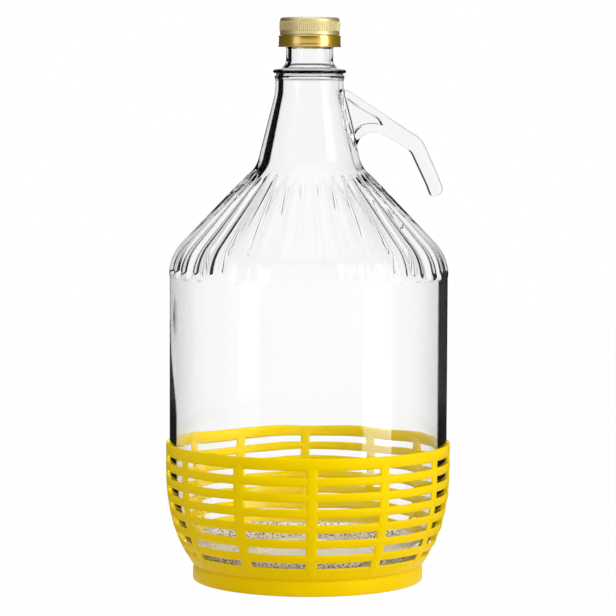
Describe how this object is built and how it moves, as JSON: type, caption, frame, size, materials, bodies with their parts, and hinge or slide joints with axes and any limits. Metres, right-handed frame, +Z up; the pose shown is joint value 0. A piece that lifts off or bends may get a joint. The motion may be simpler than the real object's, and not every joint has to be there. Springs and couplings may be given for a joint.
{
  "type": "glass demijohn",
  "caption": "Round clear glass demijohn with a fluted shoulder, a hooked finger handle and a knurled screw cap, standing in an open moulded plastic basket.",
  "frame": {"origin": "on the bottle's axis, on the surface that the basket's foot stands on", "axes": "+Z up along the bottle's axis, +X towards the handle"},
  "size_m": [0.1818, 0.1812, 0.3588],
  "materials": {
    "yellow_plastic": "smooth moulded plastic with a soft sheen",
    "clear_glass": "clear blown glass",
    "pale_gold": "matt pale gold lacquer",
    "liner_foam": "white closed cell foam",
    "deep_gold": "glossy deep gold lacquer"
  },
  "bodies": {
    "basket": {"basket": "yellow_plastic"},
    "bottle": {"bottle": "clear_glass"},
    "cap_liner": {"cap_liner": "liner_foam"},
    "cap_shell": {"cap_shell": "pale_gold"},
    "tamper_band": {"tamper_band": "deep_gold"}
  },
  "joints": [
    {"name": "bottle_lift", "type": "slide", "parent": "basket", "child": "bottle", "axis": [0, 0, 1], "range_m": [0, 0.1]},
    {"name": "cap_rise", "type": "slide", "parent": "bottle", "child": "cap_liner", "axis": [0, 0, 1], "range_m": [0, 0.0121]},
    {"name": "cap_turn", "type": "hinge", "parent": "cap_liner", "child": "cap_shell", "pos_m": [0, 0, 0.3532], "axis": [0, 0, 1], "range_deg": [0, 1080]},
    {"name": "band_drop", "type": "slide", "parent": "bottle", "child": "tamper_band", "axis": [0, 0, -1], "range_m": [0, 0.0102]}
  ],
  "couplings": [
    {"joint": "cap_rise", "follows": "cap_turn", "m_per_rad": 0.00063662}
  ]
}
